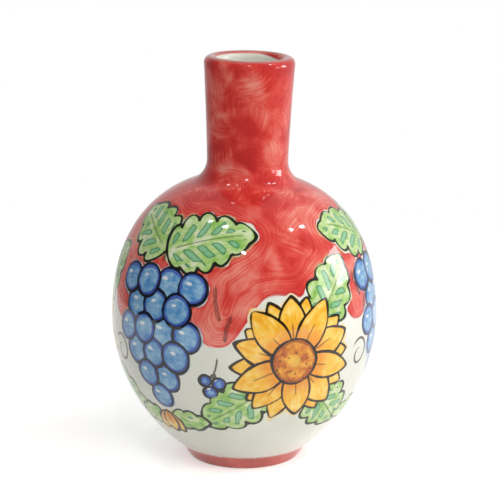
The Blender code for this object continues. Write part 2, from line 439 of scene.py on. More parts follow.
def petalOutline(length, width, hook):
    along = np.linspace(0, 1, 24)
    half = width / 2 * np.sin(math.pi * along**1.05) ** 0.78
    bend = hook * along**2
    upper = np.stack([length * along, bend + half], 1)
    lower = np.stack([length * along, bend - half], 1)[::-1]
    return wobbled(np.concatenate([upper, lower[1:-1]]), 0.35)


def leafOutline(length, width, lobes, hook):
    sides = []
    for way, shift in ((1, 0.0), (-1, 0.35)):
        along = np.linspace(0, 1, 16 * lobes + 1)
        body = np.sin(math.pi * along**0.72) ** 0.62
        scallop = np.abs(np.sin(math.pi * (lobes * along + shift))) ** 0.55
        half = width / 2 * body * (0.70 + 0.30 * scallop)
        sides.append(np.stack([length * along, hook * along**2 + way * half], 1))
    return wobbled(np.concatenate([sides[0], sides[1][::-1][1:-1]]), 0.5)


def roundOutline(radius):
    angles = np.linspace(0, 2 * math.pi, 36, endpoint=False)
    return wobbled(radius * np.stack([np.cos(angles), np.sin(angles)], 1), 0.045 * radius)


def paintStroke(plane, line, width):
    # Across is kept with its side, so that the line stays sharp between the skin's points
    layer = layerNamed("strokes")
    lengths = lengthAlong(line)
    margin = bouquet["farAway"]
    near = np.flatnonzero(((plane > line.min(0) - margin) & (plane < line.max(0) + margin)).all(1))
    for number, (start, end) in enumerate(zip(line, line[1:])):
        edge, offset = end - start, plane[near] - start
        share = np.clip(offset @ edge / (edge @ edge), 0, 1)
        apart = np.linalg.norm(offset - share[:, None] * edge, axis=1)
        side = np.sign(edge[0] * offset[:, 1] - edge[1] * offset[:, 0])
        done = (lengths[number] + share * (lengths[number + 1] - lengths[number])) / lengths[-1]
        closer = apart < layer["edge"][near]
        chosen = near[closer]
        layer["edge"][chosen] = apart[closer]
        layer["place"][chosen] = np.stack([side * apart, done, np.full(len(near), width)], 1)[closer]


def paintFlower(shift):
    flower = bouquet["flower"]
    plane = spotPlane(flower["azimuth"] + shift + slip(2), flower["latitude"] + slip(1.5))
    tilt = random.uniform(0, 0.5)
    for leaf in bouquet["flowerLeaves"]:
        turn = math.radians(leaf["turn"] + slip(6))
        root = leaf["start"] * pointing(turn)
        length = leaf["length"] * random.uniform(0.92, 1.08)
        outline = leafOutline(length, leaf["width"], leaf["lobes"], slip(4))
        paintShape(leaf["layer"], plane, outline, root, turn)
    petals = flower["petals"]
    for row, name, width, share in flower["rows"]:
        for petal in range(petals):
            turn = tilt + (petal + row) / petals * 2 * math.pi + slip(0.05)
            length = flower["reach"] * random.uniform(0.91, 1.03) * share
            outline = petalOutline(length, width * random.uniform(0.92, 1.08), slip(1.6))
            layerName = name if row else name + "AB"[petal % 2]
            paintShape(layerName, plane, outline, (0, 0), turn)
    paintShape("disc", plane, roundOutline(flower["disc"]), (0, 0), 0)


def paintBunch(shift):
    bunch = bouquet["bunch"]
    berry = bunch["berry"]
    plane = spotPlane(bunch["azimuth"] + shift + slip(2), bunch["latitude"] + slip(1.5))
    stem = np.array([0, 1.9 * berry])
    for leaf in bouquet["bunchLeaves"]:
        turn = math.radians(leaf["turn"] + slip(7))
        outline = leafOutline(leaf["length"], leaf["width"], leaf["lobes"], slip(3))
        paintShape(leaf["layer"], plane, outline, stem, turn)
    pitchAcross, pitchDown = bunch["pitch"]
    for row, count in enumerate(bunch["rows"]):
        for column in range(count):
            across = (column - (count - 1) / 2) * pitchAcross * berry + slip(0.35)
            upward = -row * pitchDown * berry + slip(0.35)
            colourGroup = (2 * column - count + 1 + 3 * row) % 6 // 2
            size = berry * random.uniform(0.94, 1.05)
            paintShape("berry" + "ABC"[colourGroup], plane, roundOutline(size), (across, upward), 0)
    stalk = np.linspace(0, 1, 12)[:, None]
    widths = bouquet["strokeWidths"]
    paintStroke(plane, stem * (0.6 + 1.1 * stalk) + bunch["stalkBend"] * stalk**2, widths["stalk"])
    tendril = bunch["tendril"]
    curl = np.linspace(0, 1, 60)
    spin = 2.6 - tendril["winding"] * curl
    size = tendril["size"] * (1 - curl) ** 0.8 + 1.2
    line = tendril["centre"] + np.stack([size * np.cos(spin) * 0.9, size * np.sin(spin)], 1)
    paintStroke(plane, line, widths["tendril"])


def paintSpray(shift):
    # A bud that hangs between two small leaves, in the gap under the grapes
    for azimuth, latitude, turn, length, width in bouquet["sprig"]:
        outline = leafOutline(length * random.uniform(0.93, 1.07), width, 3, slip(3))
        turn = math.radians(turn + slip(6))
        paintShape("leafFront", spotPlane(azimuth + shift, latitude), outline, (0, 0), turn)
    bud = bouquet["bud"]
    plane = spotPlane(bud["azimuth"] + shift, bud["latitude"])
    for name, turn in (("petalBack", -112), ("petalBack", -68), ("petalFrontA", -90)):
        outline = petalOutline(bud["length"], bud["width"], slip(0.8))
        turn = math.radians(turn)
        start = 8 * pointing(turn)
        paintShape(name, plane, outline + (8, 0), -start, turn)


def paintCurrants(shift):
    currants = bouquet["currants"]
    plane = spotPlane(currants["azimuth"] + shift + slip(1), currants["latitude"])
    fork, tip = np.array(currants["fork"]), np.array(currants["tip"])
    width = bouquet["strokeWidths"]["currants"]
    stalk = np.linspace(0, 1, 8)[:, None]
    for place, name in zip(currants["places"], ("berryA", "berryC", "berryB")):
        paintShape(name, plane, roundOutline(currants["size"] * random.uniform(0.92, 1.08)), place, 0)
        paintStroke(plane, np.array(place) * (1 - stalk) + fork * stalk, width)
    paintStroke(plane, fork * (1 - stalk) + tip * stalk + (1.2, 0) * stalk * (1 - stalk), width)


def paintSlashes(shift):
    # Quick grey strokes of a nearly dry brush on the red between the motifs
    for azimuth, latitude, length, slant in bouquet["slashes"]:
        plane = spotPlane(azimuth + shift, latitude)
        way = math.radians(slant + slip(8))
        along = np.linspace(-0.5, 0.5, 16)
        bend = 0.9 * (along * 2) ** 2
        line = np.stack([along * math.cos(way) * length + bend, along * math.sin(way) * length], 1)
        paintStroke(plane, line, bouquet["strokeWidths"]["slash"])


shifts = [repeat * 360 / bouquet["repeats"] for repeat in range(bouquet["repeats"])]
for shift in shifts:
    for paint in (paintFlower, paintBunch, paintSpray, paintCurrants, paintSlashes):
        paint(shift)


def borderDistance():
    # Millimetres below the red's scalloped edge, and less than zero in the red
    degrees = np.degrees(skinAzimuth)
    height = np.full(len(skin), border["height"])
    for middle, drop, width in border["tongues"]:
        for shift in shifts:
            away = (degrees - middle - shift + 180) % 360 - 180
            height -= drop * np.exp(-(np.abs(away / width) ** border["fullness"]))
    height += 1.2 * np.sin(3 * skinAzimuth + 1) + 0.8 * np.sin(7 * skinAzimuth)
    order = np.argsort(skinAzimuth[onOutside])
    stepsRound = skinAzimuth[onOutside][order]
    slope = np.gradient(height[onOutside][order], stepsRound + np.arange(len(stepsRound)) * 1e-9)
    slopeHere = np.interp(skinAzimuth, stepsRound, slope) / (pot["globeRadius"] * 1000)
    return np.clip((height - skin[:, 2] * 1000) / np.sqrt(1 + np.clip(slopeHere, -4, 4) ** 2), -60, 60)


aroundMotifs = np.min([layer["edge"] for name, layer in layers.items() if name != "strokes"], axis=0)
underBorder = borderDistance()
redDepth = {"most": 20.0, "smoothings": 40}


def combedDepth():
    # How far into the red a place is. The brush follows the motifs, but not each scallop of a leaf.
    farEnough = bouquet["farAway"] - 0.5
    depth = np.minimum(-underBorder, np.where(aroundMotifs > farEnough, redDepth["most"], aroundMotifs))
    ends = readValues(paintedGlaze.data.edges, "vertices", 2)
    first, second = ends.reshape(-1, 2).T
    neighbours = np.bincount(ends, minlength=len(depth))
    for smoothing in range(redDepth["smoothings"]):
        total = np.bincount(first, depth[second], len(depth)) + np.bincount(second, depth[first], len(depth))
        depth = (depth + total / neighbours) / 2
    return depth


def keepOnSkin(name, values):
    kind, field = ("FLOAT", "value") if values.ndim == 1 else ("FLOAT_VECTOR", "vector")
    attribute = paintedGlaze.data.attributes.new(name, kind, "POINT")
    attribute.data.foreach_set(field, values.astype(np.float32).ravel())


for name, layer in layers.items():
    keepOnSkin(name + "Edge", layer["edge"])
    keepOnSkin(name + "Place", layer["place"])
skinFields = {
    "depthInRed": combedDepth(),
    "underBorder": underBorder,
    "aroundMotifs": aroundMotifs,
    "skinRadius": skinRadius * 1000,
    "skinHeight": skin[:, 2] * 1000,
}
for name, values in skinFields.items():
    keepOnSkin(name, values)
print("painting laid out in", len(layers), "layers")


def linear(shade):
    # An sRGB hex colour as the linear one that the shaders take
    parts = [int(shade[place : place + 2], 16) / 255 for place in (1, 3, 5)]
    return (*[part / 12.92 if part <= 0.04045 else ((part + 0.055) / 1.055) ** 2.4 for part in parts], 1)


choices = {
    "Math": "operation",
    "VectorMath": "operation",
    "Mix": "data_type",
    "MapRange": "interpolation_type",
}


def feed(node, values):
    # A value may be a number, a hex colour, another node or one of its sockets
    for key, value in values.items() if isinstance(values, dict) else enumerate(values):
        if isinstance(value, bpy.types.Node):
            value = next(socket for socket in value.outputs if socket.enabled)
        if isinstance(value, bpy.types.NodeSocket):
            tree.links.new(value, node.inputs[key])
        else:
            node.inputs[key].default_value = linear(value) if isinstance(value, str) else value


def add(kind, values=(), stops=(), **settings):
    # Adds one node to the tree at hand. The setting that says how it works may follow its kind.
    kind, *choice = kind.split()
    node = tree.nodes.new("ShaderNode" + kind)
    if choice:
        settings[choices[kind]] = choice[0]
    for name, setting in settings.items():
        setattr(node, name, setting)
    feed(node, values)
    for number, (place, shade) in enumerate(stops):
        elements = node.color_ramp.elements
        element = elements[number] if number < 2 else elements.new(place)
        element.position = place
        element.color = linear(shade)
    return node


def newMaterial(name):
    global tree
    material = bpy.data.materials.new(name)
    material.use_nodes = True
    tree = material.node_tree
    return material, tree.nodes["Principled BSDF"]


def layOver(ground, shade, place, start, full, most=1.0):
    # A shade laid on the ground, from none where the place is at the start to the most where it is full
    mask = add("MapRange SMOOTHSTEP", (place, start, full, 0, most))
    return add("Mix RGBA", {0: mask, 6: ground, 7: shade})


# Paint colours are hex values of the fired glaze. Lengths in the paint are in millimetres.
# A look's streak is how fine it is along the shape and across it. Its rim is the pooled edge's colour,
# width and strength, its bleed is how strong the colour past the outline is, and its offset is how far
# the wash's edge can wander, in and out together.
inkLook = {"thick": "#08090b", "thin": "#3a322b", "dry": "#3a332c", "halfWidth": 0.55, "swing": 1.43}
leafLook = {
    "layers": ("leafBack", "leafFront"),
    "stops": ((0.28, "#dfe6c4"), (0.44, "#c0d894"), (0.58, "#a3cb70"), (0.74, "#84b852")),
    "streak": (0.10, 0.55),
    "rim": ("#8cbc58", 0.8, 0.35),
    "contrast": 1.7,
    "bleed": 0.40,
    "offset": 2.75,
    "dabGap": 6.4,
    "dabSlant": -0.75,
    "dab": ("#7cbc90", "#1f7a58"),  # thin in the middle and pooled at the edge
    "rib": "#35502a",
}
berryLook = {
    "layers": ("berryA", "berryB", "berryC"),
    "stops": ((0.24, "#bcd2dc"), (0.42, "#8ab6d6"), (0.60, "#4e8ec4"), (0.80, "#3467ae")),
    "streak": (0.16, 0.50),
    "rim": ("#354fb0", 1.5, 0.9),
    "contrast": 1.25,
    "bleed": 0.65,
    "offset": 2.0,
    "crescent": "#33489f",
    "shine": "#e6ebe9",
}
petalLook = {
    "layers": ("petalBack", "petalFrontA", "petalFrontB"),
    "stops": ((0.28, "#fde08c"), (0.44, "#fccd58"), (0.60, "#fbba34"), (0.76, "#f4a422")),
    "streak": (0.06, 0.80),
    "rim": ("#f5aa2a", 1.1, 0.45),
    "contrast": 1.6,
    "bleed": 0.65,
    "offset": 2.25,
    "glow": "#ea8c24",
    "line": "#5a3016",
}
discLook = {
    "layers": ("disc",),
    "stops": ((0.30, "#f0b43a"), (0.46, "#dc8a2a"), (0.60, "#c4661e"), (0.76, "#9c4416")),
    "streak": (0.45, 0.45),
    "rim": ("#8c3a14", 1.4, 0.8),
    "contrast": 1.5,
    "bleed": 0.0,
    "offset": 1.5,
    "heart": "#f2c14c",
    "seeds": "#2c1a12",
}


def bleedUnder(ground, look, position):
    # Thin colour that ran a little way past its outline
    edges = [add("Attribute", attribute_name=name + "Edge").outputs["Fac"] for name in look["layers"]]
    nearest = edges[0]
    for edge in edges[1:]:
        nearest = add("Math MINIMUM", (nearest, edge))
    wander = add("TexNoise", {"Vector": position, "Scale": 0.12, "Detail": 2.0})
    ragged = add("Math MULTIPLY_ADD", (wander, 6.0, nearest))
    return layOver(ground, look["stops"][1][1], ragged, 4.3, 2.9, look["bleed"])


def leafMarks(colour, along, across, seed, edge, grain):
    # Slanting teal dabs between the rib and the edge, and a midrib
    gap = leafLook["dabGap"]
    aside = add("Math ABSOLUTE", (across,))
    slant = add("Math MULTIPLY_ADD", (aside, leafLook["dabSlant"], along))
    offCentre = add("Math MULTIPLY_ADD", (seed, 3.0, slant))
    steps = [("MULTIPLY", 1 / gap), ("FRACT",), ("SUBTRACT", 0.5), ("ABSOLUTE",)]
    steps += [("MULTIPLY_ADD", gap * 0.8, -0.35), ("MAXIMUM", 0)]
    for operation, *others in steps:
        offCentre = add("Math", (offCentre, *others), operation=operation)
    nearRib = add("Math SUBTRACT", (2.9, aside))
    nearEdge = add("Math ADD", (edge, 3.6))
    ends = add("Math MAXIMUM", (nearRib, nearEdge))
    ends = add("Math MAXIMUM", (ends, 0))
    corner = add("CombineXYZ", (offCentre, ends, 0))
    outward = add("VectorMath LENGTH", (corner,))
    outward = add("Math MULTIPLY_ADD", (grain, 1.3, outward))
    teal = layOver(*leafLook["dab"], outward, 0.25, 0.95)
    colour = layOver(colour, teal, outward, 1.25, 0.95, 0.88)
    rib = add("MapRange SMOOTHSTEP", (aside, 0.40, 0.18, 0, 0.62))
    for place, start, full in ((along, 2, 5), (edge, -3.2, -5.2)):
        kept = add("MapRange SMOOTHSTEP", (place, start, full))
        rib = add("Math MULTIPLY", (rib, kept))
    return add("Mix RGBA", {0: rib, 6: colour, 7: leafLook["rib"]})


def berryMarks(colour, along, across, seed, edge, grain):
    # A deep crescent on the shaded side, and a bare spot where the light falls
    size = bouquet["bunch"]["berry"]
    place = add("CombineXYZ", (along, across, 0))
    moved = add("VectorMath ADD", (place, (1.0, -1.2, 0)))
    away = add("VectorMath LENGTH", (moved,))
    away = add("Math MULTIPLY_ADD", (grain, 0.9, away))
    colour = layOver(colour, berryLook["crescent"], away, size - 0.4, size + 0.5, 0.85)
    drift = add("Math MULTIPLY_ADD", (seed, 1.6, 0.9))
    drift = add("CombineXYZ", (drift, -1.9, 0))
    spot = add("VectorMath ADD", (place, drift))
    spot = add("VectorMath MULTIPLY", (spot, (0.70, 1.30, 0)))
    away = add("VectorMath LENGTH", (spot,))
    away = add("Math MULTIPLY_ADD", (grain, 1.6, away))
    return layOver(colour, berryLook["shine"], away, 1.25, 0.65, 0.88)


def petalMarks(colour, along, across, seed, edge, grain):
    # Orange towards the disc, and one fine dark stroke up the middle
    glow = add("Math MULTIPLY_ADD", (grain, 12.0, along))
    colour = layOver(colour, petalLook["glow"], glow, 17.5, 10.5, 0.8)
    aside = add("Math ABSOLUTE", (across,))
    line = add("MapRange SMOOTHSTEP", (aside, 0.36, 0.16, 0, 0.75))
    reach = add("Math MULTIPLY_ADD", (seed, 6.0, 14.5))
    left = add("Math SUBTRACT", (reach, along))
    ends = add("MapRange SMOOTHSTEP", (left, 0, 2.2))
    line = add("Math MULTIPLY", (line, ends))
    return add("Mix RGBA", {0: line, 6: colour, 7: petalLook["line"]})


def discMarks(colour, along, across, seed, edge, grain):
    # A ring of dark seeds round a lighter heart
    place = add("CombineXYZ", (along, across, 0))
    away = add("VectorMath LENGTH", (place,))
    colour = layOver(colour, discLook["heart"], away, 3.4, 1.6, 0.75)
    cells = add("TexVoronoi", {"Vector": place, "Scale": 0.62, "Randomness": 0.75})
    dots = add("MapRange SMOOTHSTEP", (cells.outputs["Distance"], 0.30, 0.20, 0, 0.9))
    ring = add("MapRange SMOOTHSTEP", (away, 2.2, 3.4))
    dots = add("Math MULTIPLY", (dots, ring))
    return add("Mix RGBA", {0: dots, 6: colour, 7: discLook["seeds"]})


def readLayer(name):
    edge = add("Attribute", attribute_name=name + "Edge").outputs["Fac"]
    return edge, add("Attribute", attribute_name=name + "Place").outputs["Vector"]


def paintLayer(ground, name, look, marks, position):
    # One wash of colour inside its shapes, with their marks, then the ink outline over both
    edge, place = readLayer(name)
    along, across, seed = add("SeparateXYZ", (place,)).outputs
    streakPlace = add("VectorMath MULTIPLY", (place, (*look["streak"], 9.0)))
    streak = add("TexNoise", {"Vector": streakPlace, "Scale": 1.0, "Detail": 3.0, "Roughness": 0.6})
    blotch = add("TexNoise", {"Vector": position, "Scale": 0.22, "Detail": 2.0, "Distortion": 0.4})
    wash = add("Mix", {0: 0.55, 2: streak, 3: blotch})
    wash = add("Math MULTIPLY_ADD", (wash, look["contrast"], 0.5 - look["contrast"] / 2))
    colour = add("ValToRGB", (wash,), stops=look["stops"])
    rimShade, rimWidth, rimStrength = look["rim"]
    rimPlace = add("Math MULTIPLY_ADD", (streak, -2.4 * rimWidth, edge))
    rimStart = -2.2 * rimWidth - 0.3
    colour = layOver(colour, rimShade, rimPlace, rimStart, rimStart + 0.8, rimStrength)
    grain = add("Math SUBTRACT", (streak, 0.5))
    colour = marks(colour, along, across, seed, edge, grain)
    astray = add("TexNoise", {"Vector": position, "Scale": 0.16, "Detail": 1.5})
    astray = add("Math SUBTRACT", (astray, 0.5))
    fillEdge = add("Math MULTIPLY_ADD", (astray, look["offset"], edge))
    painted = layOver(ground, colour, fillEdge, 0.2, -0.2, 0.97)
    return inkOutline(painted, edge, position)


def inkOutline(ground, edge, position):
    # The brush swells and thins, and thin ink fires brown and a little see-through
    swell = add("TexNoise", {"Vector": position, "Scale": 0.11, "Detail": 2.0})
    swell = add("Math SUBTRACT", (swell, 0.5))
    halfWidth = add("Math MULTIPLY_ADD", (swell, inkLook["swing"], inkLook["halfWidth"]))
    near = add("Math ABSOLUTE", (edge,))
    over = add("Math SUBTRACT", (near, halfWidth))
    mask = add("MapRange SMOOTHSTEP", (over, 0.10, -0.10))
    body = add("MapRange", (halfWidth, 0.16, 0.48))
    shade = add("Mix RGBA", {0: body, 6: inkLook["thin"], 7: inkLook["thick"]})
    strength = add("MapRange", (halfWidth, 0.14, 0.36, 0.55, 0.97))
    mask = add("Math MULTIPLY", (mask, strength))
    return add("Mix RGBA", {0: mask, 6: ground, 7: shade})


redLook = {
    "stops": ((0.10, "#ec8a7a"), (0.34, "#e45f52"), (0.52, "#da3b32"), (0.70, "#ce1f1b"), (0.90, "#c00d0e")),
    "combed": (7, 12),  # between these depths, strokes that follow the edges give way to loose dabs
    "base": (0.40, 0.46),  # how thick the glaze is, in the combed strokes and in the dabs
    "lines": (1.20, 0.95),
    "patches": (0.9, 1.7),
    "darkerRed": ((98, 118, 0, 0.13), (159, 166, 0, 0.20)),  # the red is darker up towards the neck and just under the lip
    "halo": 0.55,  # bare white left round the motifs
    "edgeLine": 0.24,  # the glaze draws up into a darker line along its own edges
    "mouthDepth": (0.9, 2.4),  # at the shallow side and the deep one
    "mouthDeepSide": math.radians(75),
    "wornRim": ("#b48e84", 0.6),  # the red runs thin over the rim and lets the clay show
    "lineGap": 0.62,  # between bristle lines in the loose dabs
    "combGap": 0.47,  # and in the strokes that follow the edges
    "dabSize": 15.0,
    "dabTurn": 3.1,  # radians at most
    "dabBend": 0.06,
    "band": ("#da5a4e", "#c03c33"),
    "bandTop": pot["footHeight"] * 1000 + 0.4,
}
mouthTop = pot["height"] * 1000


def looseDabs(position, warped):
    # Dabs that run into each other, each with its own way and bend, and with bristle lines along it
    dabInputs = {"Vector": warped, "Scale": 1 / redLook["dabSize"], "Smoothness": 0.45}
    dabs = add("TexVoronoi", dabInputs, feature="SMOOTH_F1")
    centre = dabs.outputs["Position"]
    tone, turn, bend = add("SeparateColor", (dabs.outputs["Color"],)).outputs
    sideways = add("VectorMath CROSS_PRODUCT", ((0, 0, 1), centre))
    sideways = add("VectorMath NORMALIZE", (sideways,))
    inDab = add("VectorMath SUBTRACT", (position, centre))
    across = add("VectorMath DOT_PRODUCT", (inDab, sideways))
    upward = add("SeparateXYZ", (inDab,)).outputs["Z"]
    inDab = add("CombineXYZ", (across, upward, 0))
    turn = add("Math MULTIPLY", (turn, redLook["dabTurn"]))
    inDab = add("VectorRotate", {"Vector": inDab, "Angle": turn}, rotation_type="Z_AXIS")
    forward, aside = add("SeparateXYZ", (inDab,)).outputs[:2]
    bend = add("MapRange", (bend, 0, 1, -redLook["dabBend"], redLook["dabBend"]))
    curve = add("Math MULTIPLY", (forward, forward))
    aside = add("Math MULTIPLY_ADD", (curve, bend, aside))
    inDab = add("CombineXYZ", (forward, aside, 0))
    fineness = (0.07, 1 / redLook["lineGap"], 0)
    bristles = add("VectorMath MULTIPLY_ADD", (inDab, fineness, centre))
    lines = add("TexNoise", {"Vector": bristles, "Scale": 1.0, "Detail": 3.0, "Roughness": 0.6})
    return lines, tone, dabs.outputs["Distance"]


def combedLines(position, depth):
    # Bristle lines that keep their distance from the edges of the red
    sway = add("TexNoise", {"Vector": position, "Scale": 0.09, "Detail": 1.0})
    rows = add("Math MULTIPLY_ADD", (sway, 4.0, depth))
    rows = add("Math MULTIPLY", (rows, 1 / redLook["combGap"]))
    rows = add("CombineXYZ", (rows, 0, 0))
    rows = add("VectorMath MULTIPLY_ADD", (position, (0.05, 0.05, 0.05), rows))
    return add("TexNoise", {"Vector": rows, "Scale": 1.0, "Detail": 3.0, "Roughness": 0.65})


def outOfMouth(position, radius, height):
    # One where the red may lie. Inside the mouth it stops at a slanting edge.
    deepWay = (math.sin(redLook["mouthDeepSide"]), -math.cos(redLook["mouthDeepSide"]), 0)
    toDeep = add("VectorMath DOT_PRODUCT", (position, deepWay))
    deepness = add("MapRange SMOOTHSTEP", (toDeep, 2, 14, *redLook["mouthDepth"]))
    sunk = add("Math ADD", (height, deepness))
    innerLip = (mouthRadius + lipRound) * 1000
    inMouth = add("MapRange", (radius, innerLip, innerLip - 0.2))
    deep = add("MapRange SMOOTHSTEP", (sunk, mouthTop + 0.4, mouthTop - 0.5))
    bare = add("Math MULTIPLY", (inMouth, deep))
    return add("Math SUBTRACT", (1.0, bare))


def brushedRed(ground, position):
    # Red glaze laid on with a bristle brush: fine lines follow the strokes, with pools and thin places
    fields = [add("Attribute", attribute_name=name).outputs["Fac"] for name in skinFields]
    depth, below, around, radius, height = fields
    warp = add("TexNoise", {"Vector": position, "Scale": 0.06, "Detail": 1.0})
    warped = add("VectorMath SUBTRACT", (warp.outputs["Color"], (0.5, 0.5, 0.5)))
    warped = add("VectorMath MULTIPLY_ADD", (warped, (15, 15, 15), position))
    loose, dabTone, dabRim = looseDabs(position, warped)
    farIn = add("MapRange SMOOTHSTEP", (depth, *redLook["combed"]))
    streak = add("Mix", {0: farIn, 2: combedLines(position, depth), 3: loose})
    blotch = add("TexNoise", {"Vector": warped, "Scale": 0.10, "Detail": 2.0, "Roughness": 0.5})
    middles = ((streak, 0.5), (blotch, 0.5), (dabTone, 0.5), (dabRim, 0.45))
    swings = [add("Math SUBTRACT", pair) for pair in middles]
    streak, blotch = swings[:2]
    levels = [redLook[name] for name in ("base", "lines", "patches")]
    body, lines, patchy = [add("MapRange", (farIn, 0, 1, *level)) for level in levels]
    for swing, strength in zip(swings, (lines, patchy, 0.28, 0.35)):
        body = add("Math MULTIPLY_ADD", (swing, strength, body))
    # The red is made darker up towards the neck and just under the lip
    darkerRed = [add("MapRange SMOOTHSTEP", (height, *level)) for level in redLook["darkerRed"]]
    ragged = add("Math MULTIPLY_ADD", (streak, 2.2, below))
    wander = add("TexNoise", {"Vector": position, "Scale": 0.14, "Detail": 1.0})
    clear = add("Math MULTIPLY_ADD", (wander, -5.0, around))
    halo = redLook["halo"] - 2.5  # the wander takes 2.5 off on the whole
    edgeLine = redLook["edgeLine"]
    drawnUp = add("MapRange", (clear, halo + 1.1, halo + 0.4, 0, edgeLine))
    drawnDown = add("MapRange", (ragged, -1.1, -0.4, 0, edgeLine))
    for more in (*darkerRed, drawnUp, drawnDown):
        body = add("Math ADD", (body, more))
    shade = add("ValToRGB", (body,), stops=redLook["stops"])
    shade = add("Mix RGBA", {0: 0.97, 6: ground, 7: shade})
    wornShade, wornMost = redLook["wornRim"]
    rimPlace = add("Math MULTIPLY_ADD", (streak, 1.5, height))
    worn = add("MapRange", (rimPlace, mouthTop - 0.9, mouthTop - 0.1, 0, wornMost))
    shade = add("Mix RGBA", {0: worn, 6: shade, 7: wornShade})
    over = add("MapRange SMOOTHSTEP", (ragged, 0.35, -0.35))
    clear = add("MapRange SMOOTHSTEP", (clear, halo - 0.2, halo + 0.35))
    for kept in (clear, outOfMouth(position, radius, height)):
        over = add("Math MULTIPLY", (over, kept))
    colour = add("Mix RGBA", {0: over, 6: ground, 7: shade})
    patches = add("MapRange", (blotch, -0.15, 0.15))
    pale, deep = redLook["band"]
    bandShade = add("Mix RGBA", {0: patches, 6: pale, 7: deep})
    bandEdge = add("Math MULTIPLY_ADD", (streak, 1.6, height))
    bandTop = redLook["bandTop"]
    return layOver(colour, bandShade, bandEdge, bandTop + 0.8, bandTop - 0.8, 0.94)


def inkStrokes(ground, position):
    # Tendrils and slashes: lines with a side to them, thin at both ends. A broad one is half dry.
    edge, place = readLayer("strokes")
    side, done, width = add("SeparateXYZ", (place,)).outputs
    here = width
    for end, full in ((0.0, 0.12), (1.0, 0.8)):
        share = add("MapRange SMOOTHSTEP", (done, end, full))
        here = add("Math MULTIPLY", (here, share))
    near = add("Math ABSOLUTE", (side,))
    over = add("Math SUBTRACT", (near, here))
    mask = add("MapRange SMOOTHSTEP", (over, 0.08, -0.08, 0, 0.9))
    close = add("MapRange", (edge, 1.0, 0.8))
    hairs = add("VectorMath MULTIPLY", (position, (2.2, 2.2, 0.35)))
    dryness = add("TexNoise", {"Vector": hairs, "Scale": 1.0, "Detail": 2.0})
    dryness = add("MapRange", (dryness, 0.35, 0.62, 0.85, 0.40))
    broad = add("MapRange", (width, 0.6, 0.9))
    covers = add("Mix", {0: broad, 2: 1.0, 3: dryness})
    for kept in (close, covers):
        mask = add("Math MULTIPLY", (mask, kept))
    return add("Mix RGBA", {0: mask, 6: ground, 7: inkLook["dry"]})


def makePaintedGlaze():
    # Tin-glazed, brush-painted majolica: opaque milky white under a hard wet-looking gloss
    material, shader = newMaterial("Painted tin glaze")
    inMetres = add("TexCoord").outputs["Object"]
    position = add("VectorMath MULTIPLY", (inMetres, (1000, 1000, 1000)))
    cloud = add("TexNoise", {"Vector": position, "Scale": 0.05, "Detail": 3.0})
    colour = add("ValToRGB", (cloud,), stops=((0.35, "#dedfd1"), (0.65, "#e7e7dc")))
    colour = brushedRed(colour, position)
    colour = inkStrokes(colour, position)
    kinds = ((leafLook, leafMarks), (berryLook, berryMarks), (petalLook, petalMarks), (discLook, discMarks))
    for look, marks in kinds:
        colour = bleedUnder(colour, look, position)
    for look, marks in kinds:
        for name in look["layers"]:
            colour = paintLayer(colour, name, look, marks, position)
    orangePeel = add("TexNoise", {"Vector": position, "Scale": 0.22, "Detail": 2.0})
    bump = add("Bump", {"Height": orangePeel, "Strength": 0.5, "Distance": 0.00012})
    feed(shader, {"Base Color": colour, "Roughness": 0.07, "IOR": 1.52, "Normal": bump})
    return material


def makeLinerGlaze():
    # White liner glaze, poured in and out: plain, glossy, thinner and greyer in the run marks
    material, shader = newMaterial("White liner glaze")
    inMetres = add("TexCoord").outputs["Object"]
    runs = add("Mapping", {"Vector": inMetres, "Scale": (120, 120, 14)})
    cloud = add("TexNoise", {"Vector": runs, "Scale": 1.0, "Detail": 3.0})
    colour = add("ValToRGB", (cloud,), stops=((0.35, "#dfe0db"), (0.62, "#ecebe6")))
    feed(shader, {"Base Color": colour, "Roughness": 0.10, "IOR": 1.52})
    return material


def makeBiscuit():
    # Biscuit earthenware: dry, porous terracotta that was wiped clean before the firing
    material, shader = newMaterial("Biscuit earthenware")
    inMetres = add("TexCoord").outputs["Object"]
    cloud = add("TexNoise", {"Vector": inMetres, "Scale": 140.0, "Detail": 5.0, "Roughness": 0.6})
    colour = add("ValToRGB", (cloud,), stops=((0.32, "#b9764c"), (0.5, "#cb8d62"), (0.68, "#d9a37c")))
    grit = add("TexVoronoi", {"Vector": inMetres, "Scale": 1400.0})
    fleck = add("MapRange", (grit.outputs["Distance"], 0.16, 0.08, 0, 0.5))
    colour = add("Mix RGBA", {0: fleck, 6: colour, 7: "#8a5030"})
    # Dust and painted shade darken the foot of the recess's slope, and the ring is rubbed pale by what it
    # stood on
    flatWay = add("VectorMath MULTIPLY", (inMetres, (1000, 1000, 0)))
    fromAxis = add("VectorMath LENGTH", (flatWay,))
    ringInside = (contactRadius - pot["ringWidth"]) * 1000
    slopeFoot = ringInside - pot["recessDepth"] * 1000
    fromDustAndShadeRing = add("Math SUBTRACT", (fromAxis, slopeFoot))
    fromDustAndShadeRing = add("Math ABSOLUTE", (fromDustAndShadeRing,))
    # painted shade, with dust, in the corner where the recess's slope meets its floor
    colour = layOver(colour, "#7c4628", fromDustAndShadeRing, 1.3, 0.2, 0.6)
    rubbed = add("MapRange", (fromAxis, ringInside, ringInside + 0.5, 0, 0.5))
    colour = add("Mix RGBA", {0: rubbed, 6: colour, 7: "#e8c4a2"})
    sand = add("TexNoise", {"Vector": inMetres, "Scale": 2600.0, "Detail": 3.0})
    bump = add("Bump", {"Height": sand, "Strength": 0.6, "Distance": 0.0001})
    feed(shader, {"Base Color": colour, "Roughness": 0.85, "IOR": 1.5, "Normal": bump})
    return material


